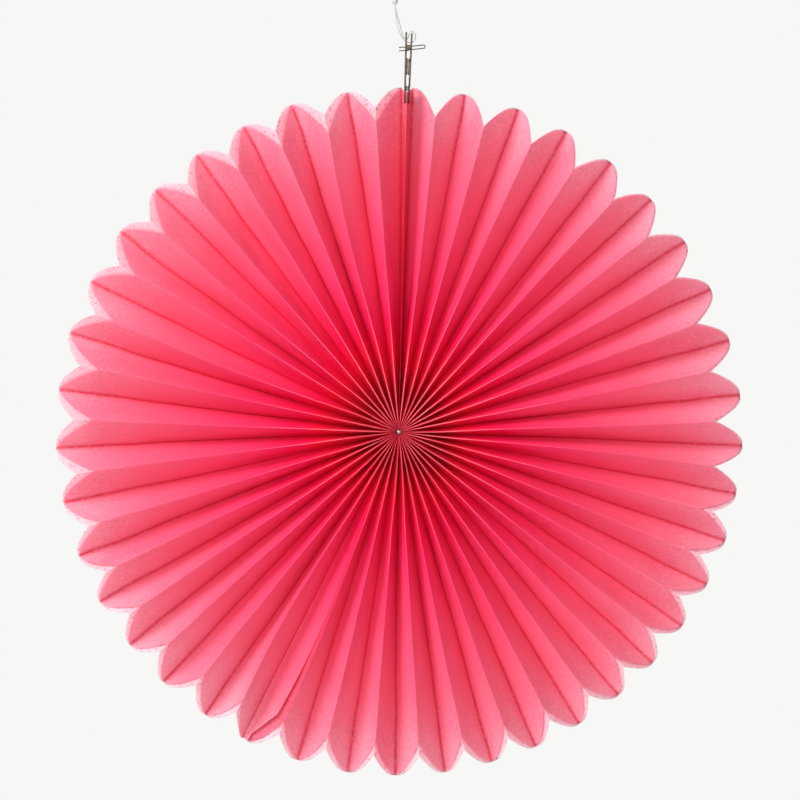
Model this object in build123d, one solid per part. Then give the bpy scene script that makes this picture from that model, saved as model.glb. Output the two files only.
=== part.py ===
from build123d import *
from dataclasses import dataclass
import math
import os

# Paper fan rosette: two packs of pleated tissue, gathered on a pin and fanned to a full disc.
# Frame: millimetres, +Z up, the front of the disc faces -Y.
# The origin is the inside of the hanging loop's crown, and lengths are taken from the disc's middle.

# Radii of the pleats, from the pin hole to the tips of the rear ply
HOLE_RADIUS = 0.65
GATHER_RADIUS = 4.0
SHOULDER_RADIUS = 14.0
MIDDLE_RADIUS = 50.0
TIP_RADIUS = 150.0

# The front plies are a little shorter, and the notches between the tips differ
FRONT_SETBACK = 0.6
FRONT_NOTCH = 14.7
REAR_NOTCH = 10.0
FRONT_TIP_RADIUS = TIP_RADIUS - FRONT_SETBACK
RIDGE_RADIUS = FRONT_TIP_RADIUS - FRONT_NOTCH
REAR_RIDGE_RADIUS = TIP_RADIUS - REAR_NOTCH

# Half depth of the pleats at those radii, from the middle plane to a ridge
HOLE_HALF_DEPTH = 4.5
GATHER_HALF_DEPTH = 7.0
SHOULDER_HALF_DEPTH = 8.4
MIDDLE_HALF_DEPTH = 8.1
RIDGE_HALF_DEPTH = 6.6
TIP_HALF_DEPTH = 6.2

# Thickness of the front plies along Y, nearly solid where the paper is gathered
HOLE_PLIES = 8.7
GATHER_PLIES = 11.0
SHOULDER_PLIES = 2.4
MIDDLE_PLIES = 0.8
RIDGE_PLIES = 0.32
TIP_PLIES = 0.3

# Thickness along Y of the single rear ply
HOLE_REAR_PLY = 0.5
GATHER_REAR_PLY = 1.0
SHOULDER_REAR_PLY = 1.2
MIDDLE_REAR_PLY = 0.4
RIDGE_REAR_PLY = 0.16
TIP_REAR_PLY = 0.15

# Air along Y between the front plies and the rear ply
HOLE_AIR = 0.1
GATHER_AIR = 0.1
SHOULDER_AIR = 0.15
MIDDLE_AIR = 0.3
RIDGE_AIR = 0.6
TIP_AIR = 0.8

# Bulge of a scalloped edge, as a share of its chord
SCALLOP_SHARE = 0.095

# Turns of the pleats, in degrees clockwise from the top, with the ridges of each zone and their pitch
SEAM_TURN = 1.33
FIRST_RIDGE_TURN = 6.5
ZONE_RIDGE_COUNTS = [9, 12, 8, 6, 5]
ZONE_PITCH_TURNS = [9.07, 8.03, 8.59, 9.52, 9.08]
RIGHT_RIDGE_COUNT = 24

# The clipped seam: two end panels lie together in front and flare apart behind
SEAM_EDGE_TURN = 0.05
SEAM_BEND_TURN = 0.11
SEAM_FLARE_TURN = 0.88
SEAM_BEND_DEPTH_SHARE = 0.66
SEAM_EDGE_SETBACK = 2.6
SEAM_BEND_SETBACK = 1.8
SEAM_EDGE_RADIUS = TIP_RADIUS - SEAM_EDGE_SETBACK
SEAM_BEND_RADIUS = TIP_RADIUS - SEAM_BEND_SETBACK
SEAM_PLIES = 3.0

# The glued lap: a flap of the left pack lies over the last panel of the right pack
LAP_FLAP_TURN = 0.5
LAP_VALLEY_TURN = 4.1
LAP_CUT_TURN = 4.2
LAP_FOLD_TURN = 5.4
LAP_FLAP_SETBACK = 13.0
LAP_CUT_SETBACK = 2.0
LAP_FLAP_RADIUS = TIP_RADIUS - LAP_FLAP_SETBACK
LAP_CUT_RADIUS = TIP_RADIUS - LAP_CUT_SETBACK
LAP_AIR = 1.6

# Pin through the gathered middle
PIN_RADIUS = 0.5
PIN_HEAD_RADIUS = 1.15
PIN_HEAD_HEIGHT = 0.75
PIN_TAIL_RADIUS = 1.4
PIN_TAIL_THICKNESS = 0.5
PIN_TAIL_CHAMFER = 0.15
PIN_SEAT_GAP = 0.05

# Fine wire and line have this many flats, which keeps them light
WIRE_FLAT_COUNT = 8

# Spring clip on the seam, with heights taken along it from the tips of its jaws
CLIP_WIRE = 0.8
CLIP_BITE = 7.0
CLIP_HEIGHT = 31.3
CLIP_RIGHT_DROP = 0.5
CLIP_DEPTH = 4.4
CLIP_JAW_RADIUS = TIP_RADIUS - CLIP_BITE
CLIP_MIDDLE_Y = -2.4
CLIP_LEAN_ANGLE = 2.0
CLIP_JAW_SPREAD = 1.66
CLIP_TOP_SPREAD = 2.45
PAD_BOTTOM = 12.6
PAD_TOP = 19.6
PAD_SEAM = 0.16
PAD_DEPTH = 3.8
PAD_ROUNDING = 0.2
JAW_BOTTOM = 5.5
JAW_TOP = 7.6
BRIDGE_BOTTOM = 22.4
BRIDGE_TOP = 25.5
BRIDGE_SLANT = 1.2
BRIDGE_DEPTH = 1.3

# Cross wire through the two eyes of the clip
CROSS_WIRE = 0.45
CROSS_GAP = 1.45
CROSS_HEIGHT = 24.2
CROSS_RIGHT = 7.2
CROSS_LEFT = 4.2
CROSS_TILT_ANGLE = 8.0
CROSS_BEND_RADIUS = 0.55
CROSS_BEHIND_MIDDLE = 0.75

# Clear line, with its ferrule and hanging loop
LINE_DIAMETER = 0.45
FERRULE_RADIUS = 1.25
FERRULE_WAIST_RADIUS = 1.1
FERRULE_LIP = 0.6
FERRULE_LIP_SHARE = 0.5
LINE_BEND_SHARE = 0.45

# Route of the doubled line, from the middle of the clip's jaw tips: down from the ferrule,
# through both eyes, over the right arm and back up
LINE_ROUTE = [
    (-5.07, -0.40, 43.40),
    (-4.94, -0.42, 40.60),
    (-4.62, -0.45, 37.60),
    (-4.17, -0.45, 34.60),
    (-3.37, -0.45, 31.60),
    (-2.17, -0.35, 28.90),
    (-0.57, -0.20, 27.05),
    (1.18, -0.05, 26.50),
    (2.88, 0.00, 26.80),
    (3.88, 0.00, 28.10),
    (3.88, 0.00, 29.85),
    (3.13, 0.00, 31.35),
    (1.68, 0.00, 31.60),
    (1.03, 0.00, 30.30),
    (0.88, 0.04, 28.80),
    (-0.07, 0.08, 27.85),
    (-1.22, 0.15, 28.60),
    (-1.97, 0.25, 30.30),
    (-2.57, 0.35, 32.80),
    (-3.22, 0.40, 35.50),
    (-4.07, 0.42, 38.20),
    (-4.77, 0.42, 40.90),
    (-5.07, 0.40, 43.40),
]

# Route of the hanging loop above the ferrule, from the same place
LOOP_ROUTE = [
    (-5.52, 0.00, 48.40),
    (-5.87, 0.00, 51.20),
    (-7.02, 0.00, 54.30),
    (-8.17, 0.00, 57.70),
    (-8.12, 0.00, 61.20),
    (-6.72, 0.00, 64.00),
    (-3.42, 0.00, 64.00),
    (-2.02, 0.00, 61.20),
    (-1.97, 0.00, 57.70),
    (-3.12, 0.00, 54.30),
    (-4.27, 0.00, 51.20),
    (-4.62, 0.00, 48.40),
]

# The ferrule grips both ends of each route
FERRULE_FOOT = (Vector(LINE_ROUTE[0]) + Vector(LINE_ROUTE[-1])) / 2
FERRULE_HEAD = (Vector(LOOP_ROUTE[0]) + Vector(LOOP_ROUTE[-1])) / 2
FERRULE_LENGTH = (FERRULE_HEAD - FERRULE_FOOT).length
LOOP_CROWN = max(height for _, _, height in LOOP_ROUTE)


@dataclass
class Profile:
    """A size of the pleats that changes from the hole to the tips."""

    hole: float
    gather: float
    shoulder: float
    middle: float
    ridge: float
    tip: float

    def at(self, radius):
        """The size at a radius, straight between the named radii."""
        radii = [HOLE_RADIUS, GATHER_RADIUS, SHOULDER_RADIUS, MIDDLE_RADIUS, RIDGE_RADIUS, TIP_RADIUS]
        sizes = [self.hole, self.gather, self.shoulder, self.middle, self.ridge, self.tip]
        band = max(index for index in range(len(radii) - 1) if radius >= radii[index])
        share = (radius - radii[band]) / (radii[band + 1] - radii[band])
        return sizes[band] + share * (sizes[band + 1] - sizes[band])


HALF_DEPTH = Profile(
    HOLE_HALF_DEPTH,
    GATHER_HALF_DEPTH,
    SHOULDER_HALF_DEPTH,
    MIDDLE_HALF_DEPTH,
    RIDGE_HALF_DEPTH,
    TIP_HALF_DEPTH,
)
FRONT_PLIES = Profile(
    HOLE_PLIES, GATHER_PLIES, SHOULDER_PLIES, MIDDLE_PLIES, RIDGE_PLIES, TIP_PLIES
)
REAR_PLY = Profile(
    HOLE_REAR_PLY,
    GATHER_REAR_PLY,
    SHOULDER_REAR_PLY,
    MIDDLE_REAR_PLY,
    RIDGE_REAR_PLY,
    TIP_REAR_PLY,
)
AIR = Profile(HOLE_AIR, GATHER_AIR, SHOULDER_AIR, MIDDLE_AIR, RIDGE_AIR, TIP_AIR)


@dataclass
class Crease:
    """A fold line from the hole to the rim: depth_share is 0 on a ridge and 1 in a valley."""

    turn: float
    depth_share: float
    reach: float
    least_plies: float = 0.0
    first_radius: float = HOLE_RADIUS

    def plies(self, radius):
        """Thickness of the front plies along Y."""
        return max(FRONT_PLIES.at(radius), self.least_plies)

    def front(self, radius):
        """Y of the front face of the front plies."""
        half_depth = HALF_DEPTH.at(radius)
        return self.depth_share * (2 * half_depth - self.plies(radius)) - half_depth


@dataclass
class FlapEdge(Crease):
    """The free edge of the flap, in front of the panel that it is glued to."""

    def front(self, radius):
        """Y of the flap's front face, its own thickness and some air before the panel."""
        return super().front(radius) - self.plies(radius) - LAP_AIR


@dataclass
class FlapLine(Crease):
    """The line where the flap leaves the seam, part of the way from its free edge to its fold."""

    edge: Crease = None
    fold: Crease = None

    def front(self, radius):
        """Y on the straight panel between the free edge and the fold."""
        start = self.edge.front(radius) if radius >= self.edge.first_radius else -HALF_DEPTH.at(radius)
        return start + self.depth_share * (self.fold.front(radius) - start)


def ridge_turns():
    """Turns of all the ridges, clockwise, spread wider at the left than at the lower right."""
    turns = [FIRST_RIDGE_TURN]
    for count, pitch in zip(ZONE_RIDGE_COUNTS, ZONE_PITCH_TURNS):
        turns += [turns[-1] + pitch * (step + 1) for step in range(count)]
    return turns


def pleats(turns, ridge_radius, tip_radius):
    """Creases of a run of ridges, with a valley halfway between neighbours."""
    creases = [Crease(turns[0], 0, ridge_radius)]
    for last, turn in zip(turns, turns[1:]):
        creases.append(Crease((last + turn) / 2, 1, tip_radius))
        creases.append(Crease(turn, 0, ridge_radius))
    return creases


def right_creases(ridge_radius, tip_radius):
    """Creases of the right pack, from the valley at the seam to the valley under the lap."""
    turns = ridge_turns()[:RIGHT_RIDGE_COUNT]
    first = Crease(SEAM_TURN + SEAM_FLARE_TURN, 1, tip_radius)
    last = Crease(turns[-1] + LAP_VALLEY_TURN, 1, tip_radius)
    return [first] + pleats(turns, ridge_radius, tip_radius) + [last]


def left_creases(ridge_radius, tip_radius):
    """Creases of the left pack, from the valley of its flap to the valley at the seam."""
    full_turn = 360
    turns = ridge_turns()
    first = Crease(turns[RIGHT_RIDGE_COUNT - 1] + LAP_FOLD_TURN, 1, tip_radius)
    last = Crease(full_turn + SEAM_TURN - SEAM_FLARE_TURN, 1, tip_radius)
    return [first] + pleats(turns[RIGHT_RIDGE_COUNT:], ridge_radius, tip_radius) + [last]


def seam_creases(side):
    """The free edge and the bend of an end panel, on the clockwise side (1) or the other (-1)."""
    full_turn = 0 if side > 0 else 360
    edge = Crease(full_turn + SEAM_TURN + side * SEAM_EDGE_TURN, 0, SEAM_EDGE_RADIUS, SEAM_PLIES)
    bend = Crease(
        full_turn + SEAM_TURN + side * SEAM_BEND_TURN, SEAM_BEND_DEPTH_SHARE, SEAM_BEND_RADIUS, SEAM_PLIES
    )
    return [edge, bend][::side]


def flap_creases(fold):
    """The free edge of the flap and the line where it leaves the seam."""
    ridge_turn = ridge_turns()[RIGHT_RIDGE_COUNT - 1]
    flap = FlapEdge(
        ridge_turn + LAP_FLAP_TURN,
        LAP_FLAP_TURN / LAP_VALLEY_TURN,
        LAP_FLAP_RADIUS,
        first_radius=SHOULDER_RADIUS,
    )
    share = (LAP_CUT_TURN - LAP_FLAP_TURN) / (LAP_FOLD_TURN - LAP_FLAP_TURN)
    line = FlapLine(ridge_turn + LAP_CUT_TURN, share, LAP_CUT_RADIUS, edge=flap, fold=fold)
    return [flap, line]


def on_disc(turn, radius, y):
    """A point at a turn and radius about the middle of the disc."""
    return Vector(radius * math.sin(math.radians(turn)), y, radius * math.cos(math.radians(turn)))


class FrontPlies:
    """The front plies of a pack, which lie together as one leaf."""

    radii = [HOLE_RADIUS, GATHER_RADIUS, SHOULDER_RADIUS, MIDDLE_RADIUS, RIDGE_RADIUS]

    def faces(self, crease, radius):
        """Points on the front and back faces of the leaf."""
        front = crease.front(radius)
        back = front + crease.plies(radius)
        return on_disc(crease.turn, radius, front), on_disc(crease.turn, radius, back)


class RearPly:
    """The single rear ply of a pack, which reaches further than the front ones between the tips."""

    radii = FrontPlies.radii + [REAR_RIDGE_RADIUS]

    def faces(self, crease, radius):
        """Points on the front and back faces of the ply."""
        front = crease.front(radius) + crease.plies(radius) + AIR.at(radius)
        back = front + REAR_PLY.at(radius)
        return on_disc(crease.turn, radius, front), on_disc(crease.turn, radius, back)


def panel_cells(left, right, panel, leaf):
    """Corners of the flat facets of one panel, each named by its crease and radius."""
    start = max(left.first_radius, right.first_radius)
    radii = [radius for radius in leaf.radii if radius >= start]
    cells = []
    for inner, outer in zip(radii, radii[1:]):
        near = [(panel, inner), (panel, outer)]
        far = [(panel + 1, inner), (panel + 1, outer)]
        ridge, valley = (near, far) if left.depth_share < right.depth_share else (far, near)
        cells += [[ridge[0], ridge[1], valley[1]], [ridge[0], valley[1], valley[0]]]
    return cells + rim_cells(left, right, panel, radii[-1])


def rim_cells(left, right, panel, rim):
    """Corners of the facets past the ridges: a lobe beside a ridge, or a straight-edged end."""
    near, far = (panel, rim), (panel + 1, rim)
    near_tip, far_tip = (panel, left.reach), (panel + 1, right.reach)
    if left.reach == rim:
        return [[near, far, far_tip]]
    if right.reach == rim:
        return [[far, near, near_tip]]
    return [[near, near_tip, far_tip], [near, far_tip, far]]


def scallop(ridge, tip, foot):
    """The curved edge of a lobe, from a ridge's end to a tip, bulging away from the valley's foot."""
    chord = tip - ridge
    outward = (foot - ridge).cross(chord).normalized().cross(chord.normalized())
    return ThreePointArc(ridge, ridge + chord / 2 + outward * (chord.length * SCALLOP_SHARE), tip)


def leaf_solid(creases, leaf):
    """A pleated leaf of paper as one closed solid: facets in front and behind, and its edges."""
    points = {}
    cells = []
    for panel, (left, right) in enumerate(zip(creases, creases[1:])):
        cells += panel_cells(left, right, panel, leaf)
    for crease, radius in {corner for cell in cells for corner in cell}:
        points[crease, radius] = leaf.faces(creases[crease], radius)
    uses = {}
    for cell in cells:
        for side in zip(cell, cell[1:] + cell[:1]):
            uses.setdefault(frozenset(side), []).append(cell)
    faces = []
    for cell in cells:
        faces += [facet(cell, points, creases, leaf, side) for side in (0, 1)]
    for corners, owners in uses.items():
        if len(owners) == 1:
            faces.append(edge_face(corners, owners[0], points, creases, leaf))
    return Solid(Shell(faces))


def is_lobe(cell, creases, leaf):
    """Whether a facet is a lobe: it lies past the rim and has a single corner there."""
    past_rim = [corner for corner in cell if corner[1] > leaf.radii[-1]]
    ridge = creases[cell[0][0]]
    return len(past_rim) == 1 and ridge.reach == leaf.radii[-1]


def facet(cell, points, creases, leaf, side):
    """One flat facet of the front face (side 0) or the back face (side 1)."""
    first, second, third = [points[corner][side] for corner in cell]
    if is_lobe(cell, creases, leaf):
        edges = [Line(first, second), Line(second, third), scallop(first, third, second)]
        return Face(Wire(edges))
    return Face(Wire.make_polygon([first, second, third], close=True))


def edge_face(corners, cell, points, creases, leaf):
    """The narrow face along one edge of the leaf, from its front face to its back face."""
    start, end = sorted(corners, key=cell.index)
    if is_lobe(cell, creases, leaf) and {start, end} == {cell[0], cell[2]}:
        front, back = [
            scallop(points[cell[0]][side], points[cell[2]][side], points[cell[1]][side]) for side in (0, 1)
        ]
        return Face.make_surface_from_curves(Edge(front.wrapped), Edge(back.wrapped))
    ring = [points[start][0], points[end][0], points[end][1], points[start][1]]
    return Face(Wire.make_polygon(ring, close=True))


def right_front():
    """Front plies of the right pack, from its end panel at the seam to the panel under the lap."""
    creases = seam_creases(1) + right_creases(RIDGE_RADIUS, FRONT_TIP_RADIUS)
    return leaf_solid(creases, FrontPlies())


def left_front():
    """Front plies of the left pack, from its flap over the lap to its end panel at the seam."""
    creases = left_creases(RIDGE_RADIUS, FRONT_TIP_RADIUS)
    return leaf_solid(flap_creases(creases[0]) + creases + seam_creases(-1), FrontPlies())


def right_rear():
    """Rear ply of the right pack, between the valleys beside the seam and the lap."""
    return leaf_solid(right_creases(REAR_RIDGE_RADIUS, TIP_RADIUS), RearPly())


def left_rear():
    """Rear ply of the left pack, between the valleys beside the lap and the seam."""
    return leaf_solid(left_creases(REAR_RIDGE_RADIUS, TIP_RADIUS), RearPly())


def hub_pin():
    """The pin that holds the gathered middle: a domed head in front and a flattened tail behind."""
    front = -HALF_DEPTH.at(PIN_HEAD_RADIUS) - PIN_SEAT_GAP
    behind = HALF_DEPTH.at(PIN_TAIL_RADIUS) + AIR.at(PIN_TAIL_RADIUS) + REAR_PLY.at(PIN_TAIL_RADIUS)
    back = behind + PIN_SEAT_GAP
    crown = front - PIN_HEAD_HEIGHT
    tail = back + PIN_TAIL_THICKNESS
    shoulder_share = math.sqrt(1 / 2)
    shoulder = (PIN_HEAD_RADIUS * shoulder_share, front - PIN_HEAD_HEIGHT * shoulder_share)
    section = Wire(
        [
            Line((0, tail), (0, crown)),
            ThreePointArc((0, crown), shoulder, (PIN_HEAD_RADIUS, front)),
            Line((PIN_HEAD_RADIUS, front), (PIN_RADIUS, front)),
            Line((PIN_RADIUS, front), (PIN_RADIUS, back)),
            Line((PIN_RADIUS, back), (PIN_TAIL_RADIUS, back)),
            Line((PIN_TAIL_RADIUS, back), (PIN_TAIL_RADIUS, tail)),
            Line((PIN_TAIL_RADIUS, tail), (0, tail)),
        ]
    )
    pin = revolve(Face(section), axis=Axis.Y)
    rim = pin.edges().filter_by(GeomType.CIRCLE).sort_by(SortBy.RADIUS)[-2:].sort_by(Axis.Y)[-1:]
    return chamfer(rim, PIN_TAIL_CHAMFER)


def clip_foot():
    """The middle of the clip's jaw tips, on the seam."""
    return on_disc(SEAM_TURN, CLIP_JAW_RADIUS, CLIP_MIDDLE_Y)


def clip_place():
    """Where the clip stands: its jaw tips on the seam, leaning as the seam does."""
    return Location(clip_foot(), (0, CLIP_LEAN_ANGLE, 0))


def wire_section(path, diameter):
    """The section of a wire or line, square to the start of its path."""
    start = Plane(origin=path.position_at(0), z_dir=path.tangent_at(0))
    return start * RegularPolygon(diameter / 2, WIRE_FLAT_COUNT)


def arm_offset(height):
    """How far an arm's middle stands from the middle of the clip at a height."""
    widening = (CLIP_TOP_SPREAD - CLIP_JAW_SPREAD) * height / (CLIP_HEIGHT - CLIP_WIRE)
    return (CLIP_JAW_SPREAD + widening) / 2


def clip_arm(side, height):
    """One arm of the clip: a long closed eye of wire, from front to back."""
    bend = (CLIP_DEPTH - CLIP_WIRE) / 2
    low = CLIP_WIRE / 2 + bend
    high = height - CLIP_WIRE / 2 - bend
    low_x = side * arm_offset(low)
    high_x = side * arm_offset(high)
    splay = math.degrees(math.atan2(high_x - low_x, high - low))
    length = math.hypot(high_x - low_x, high - low)
    plane = Plane(origin=(low_x, 0, low), x_dir=(0, 1, 0), z_dir=Vector(1, 0, 0).rotate(Axis.Y, splay))
    path = Wire(
        [
            Line((-bend, 0), (-bend, length)),
            ThreePointArc((-bend, length), (0, length + bend), (bend, length)),
            Line((bend, length), (bend, 0)),
            ThreePointArc((bend, 0), (0, -bend), (-bend, 0)),
        ]
    )
    eye = plane * path
    return sweep(wire_section(eye, CLIP_WIRE), path=eye)


def clip_pad(side, bottom, top):
    """A pad that fills an arm's eye and meets the other arm's pad at the middle seam."""
    inner = PAD_SEAM / 2
    outer = arm_offset(top)
    middle = Vector(side * (inner + outer) / 2, 0, (bottom + top) / 2)
    pad = Pos(middle) * Box(outer - inner, PAD_DEPTH, top - bottom)
    return fillet(pad.edges().filter_by(Axis.Z), PAD_ROUNDING)


def clip_bridge():
    """The bridge that joins the two arms in front, with a slanted lower edge."""
    low = arm_offset(BRIDGE_BOTTOM)
    high = arm_offset(BRIDGE_TOP)
    outline = Wire.make_polygon(
        [
            (-low, 0, BRIDGE_BOTTOM),
            (low, 0, BRIDGE_BOTTOM + BRIDGE_SLANT),
            (high, 0, BRIDGE_TOP),
            (-high, 0, BRIDGE_TOP),
        ],
        close=True,
    )
    front = -(CLIP_DEPTH - CLIP_WIRE) / 2
    return Pos(0, front, 0) * extrude(Face(outline), amount=BRIDGE_DEPTH, dir=(0, 1, 0))


def spring_clip():
    """The clip in one piece: two eyes of wire, their pads and the bridge that springs them shut."""
    clip = clip_arm(-1, CLIP_HEIGHT) + clip_arm(1, CLIP_HEIGHT - CLIP_RIGHT_DROP) + clip_bridge()
    for bottom, top in ((PAD_BOTTOM, PAD_TOP), (JAW_BOTTOM, JAW_TOP)):
        clip += clip_pad(-1, bottom, top) + clip_pad(1, bottom, top)
    return clip_place() * clip


def bent_path(route, radii):
    """Straight runs that are joined by tangent arcs."""
    return FilletPolyline(*route, radius=radii)


def cross_wire():
    """The wire through both eyes: closed at the right, with two free ends at the left."""
    half_gap = CROSS_GAP / 2
    route = [
        (-CROSS_LEFT, 0, half_gap),
        (CROSS_RIGHT, 0, half_gap),
        (CROSS_RIGHT, 0, -half_gap),
        (-CROSS_LEFT, 0, -half_gap),
    ]
    path = bent_path(route, [CROSS_BEND_RADIUS] * 2)
    place = Location((0, CROSS_BEHIND_MIDDLE, CROSS_HEIGHT), (0, -CROSS_TILT_ANGLE, 0))
    return clip_place() * place * sweep(wire_section(path, CROSS_WIRE), path=path)


def corner_radii(route):
    """Radius of the arc at each corner of a line's route: as large as its two runs allow."""
    points = [Vector(point) for point in route]
    radii = []
    for before, corner, after in zip(points, points[1:], points[2:]):
        arriving = corner - before
        leaving = after - corner
        half_turn = math.radians(arriving.get_angle(leaving)) / 2
        shorter = min(arriving.length, leaving.length)
        radii.append(LINE_BEND_SHARE * shorter / math.tan(half_turn))
    return radii


def line_tube(name, route):
    """A stretch of the clear line, with its radii and volume reported."""
    radii = corner_radii(route)
    path = bent_path(route, radii)
    section = wire_section(path, LINE_DIAMETER)
    tube = sweep(section, path=path)
    fullness = tube.volume / (section.area * path.length)
    print(name, "radii", [round(radius, 2) for radius in radii])
    print(name, "length", round(path.length, 2), "volume over section times length", round(fullness, 4))
    return Pos(clip_foot()) * tube


def line_ferrule():
    """The clear crimped sleeve on the doubled line, a little waisted between its lips."""
    waist = (FERRULE_LENGTH - 2 * FERRULE_LIP) / 2
    corner = FERRULE_RADIUS - FERRULE_LIP * FERRULE_LIP_SHARE
    section = Wire(
        [
            Line((0, 0), (corner, 0)),
            Line((corner, 0), (FERRULE_RADIUS, FERRULE_LIP)),
            ThreePointArc(
                (FERRULE_RADIUS, FERRULE_LIP),
                (FERRULE_WAIST_RADIUS, FERRULE_LIP + waist),
                (FERRULE_RADIUS, FERRULE_LENGTH - FERRULE_LIP),
            ),
            Line((FERRULE_RADIUS, FERRULE_LENGTH - FERRULE_LIP), (corner, FERRULE_LENGTH)),
            Line((corner, FERRULE_LENGTH), (0, FERRULE_LENGTH)),
            Line((0, FERRULE_LENGTH), (0, 0)),
        ]
    )
    sleeve = revolve(Plane.XZ * Face(section), axis=Axis.Z)
    return Pos(clip_foot() + FERRULE_FOOT) * sleeve


def hang_point():
    """The inside of the loop's crown, from the middle of the disc."""
    return clip_foot() + Vector(FERRULE_HEAD.X, FERRULE_HEAD.Y, LOOP_CROWN - LINE_DIAMETER / 2)


def main():
    """Write each sub-part, moved so that the hanging point is the origin."""
    os.makedirs("parts", exist_ok=True)
    nodes = {
        "tissue_right_front": right_front(),
        "tissue_left_front": left_front(),
        "tissue_right_rear": right_rear(),
        "tissue_left_rear": left_rear(),
        "hub_pin": hub_pin(),
        "spring_clip": spring_clip(),
        "cross_wire": cross_wire(),
        "line_ferrule": line_ferrule(),
        "hanging_line": line_tube("hanging line", LINE_ROUTE),
        "hanging_loop": line_tube("hanging loop", LOOP_ROUTE),
    }
    for name, shape in nodes.items():
        export_step(Pos(-hang_point()) * shape, f"parts/{name}.step")


main()
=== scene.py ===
"""Paper fan rosette: pleated red tissue on a pin, hung by a spring clip and a clear line."""

import logging
import math
import random
from dataclasses import dataclass, field
from enum import Enum

import bmesh
import bpy
from mathutils import Matrix, Vector, noise


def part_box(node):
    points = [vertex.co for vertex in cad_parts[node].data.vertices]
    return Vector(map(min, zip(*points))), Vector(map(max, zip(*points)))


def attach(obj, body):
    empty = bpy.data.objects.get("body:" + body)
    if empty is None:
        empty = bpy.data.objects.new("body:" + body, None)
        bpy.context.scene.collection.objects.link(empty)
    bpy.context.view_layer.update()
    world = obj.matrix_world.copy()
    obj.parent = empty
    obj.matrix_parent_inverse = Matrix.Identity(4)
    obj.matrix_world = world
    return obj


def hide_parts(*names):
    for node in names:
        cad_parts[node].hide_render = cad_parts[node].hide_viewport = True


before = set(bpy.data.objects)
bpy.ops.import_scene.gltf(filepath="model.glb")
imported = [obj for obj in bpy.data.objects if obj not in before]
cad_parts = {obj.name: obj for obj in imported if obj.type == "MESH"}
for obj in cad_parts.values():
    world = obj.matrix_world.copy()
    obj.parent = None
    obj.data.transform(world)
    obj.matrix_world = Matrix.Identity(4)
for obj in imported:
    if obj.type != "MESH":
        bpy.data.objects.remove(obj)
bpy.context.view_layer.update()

MM = 0.001
BODY = "root"
FULL_TURN = 360.0
WHITE = (1.0, 1.0, 1.0, 1.0)
RIGHT = Vector((1.0, 0.0, 0.0))
BACK = Vector((0.0, 1.0, 0.0))
UP = Vector((0.0, 0.0, 1.0))
ROD_SIDES = 16
MERGE_DISTANCE = 0.001
SHARP_ANGLE = 38.0
END_LENGTH_SHARE = 0.45
END_WIDTH_SHARE = 0.55
log = logging.getLogger("rosette")

# What the mesh of a sheet notes at each vertex for its finish
PAPER_NOTES = ("radius", "crest", "valley", "edge", "tone")

Colour = tuple[float, float, float]
Point = tuple[float, float, float]
Paint = Colour | bpy.types.NodeSocket
Limits = tuple[float, float]
Stops = tuple[tuple[float, Colour], ...]


# Places on the object, from the frame
def node_middle(node: str) -> Vector:
    """Middle of a node's box.

    Args:
        node: name of the node.

    Returns:
        The middle point, in metres.
    """
    low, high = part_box(node)
    return (low + high) / 2


PIN_MIDDLE = node_middle("hub_pin")
DISC_MIDDLE = Vector((PIN_MIDDLE.x, node_middle("tissue_right_front").y, PIN_MIDDLE.z))

# Turn, radius and depth of the clip's jaw tips, from the middle of the disc
SEAM_TURN = 1.33
CLIP_JAW_RADIUS = 143.0
CLIP_MIDDLE_Y = -2.4


def on_disc(turn: float, radius: float, depth: float) -> Vector:
    """A point of the disc.

    Args:
        turn: degrees clockwise from the top, seen from the front.
        radius: millimetres from the middle.
        depth: millimetres behind the middle plane.

    Returns:
        The point in metres.
    """
    angle = math.radians(turn)
    return DISC_MIDDLE + Vector((radius * math.sin(angle), depth, radius * math.cos(angle))) * MM


CLIP_FOOT = on_disc(SEAM_TURN, CLIP_JAW_RADIUS, CLIP_MIDDLE_Y)


def ramp(value: float, low: float, high: float) -> float:
    """Smooth step of a value between two limits.

    Args:
        value: the value.
        low: where the step starts.
        high: where it ends.

    Returns:
        A share from 0 to 1.
    """
    share = min(1.0, max(0.0, (value - low) / (high - low)))
    return share * share * (3 - 2 * share)


def between(value: float, places: tuple[float, ...], sizes: tuple[float, ...]) -> float:
    """A size that changes straight between given places.

    Args:
        value: where the size is wanted.
        places: rising places.
        sizes: the size at each place.

    Returns:
        The size at the value.
    """
    value = min(max(value, places[0]), places[-1])
    for first, last, low, high in zip(places, places[1:], sizes, sizes[1:]):
        if value <= last:
            return low + (high - low) * (value - first) / (last - first)
    return sizes[-1]


def unevenness(*place: float) -> float:
    """Smooth noise from -1 to 1 at a place of three numbers."""
    return noise.noise(Vector(place))


def new_piece(name: str, data: bpy.types.ID) -> bpy.types.Object:
    """Put a new object with some data into the scene."""
    piece = bpy.data.objects.new(name, data)
    bpy.context.scene.collection.objects.link(piece)
    return piece


def new_mesh(name: str, shape: bmesh.types.BMesh) -> bpy.types.Mesh:
    """Make a mesh of a finished shape."""
    mesh = bpy.data.meshes.new(name)
    shape.to_mesh(mesh)
    shape.free()
    return mesh


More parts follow.
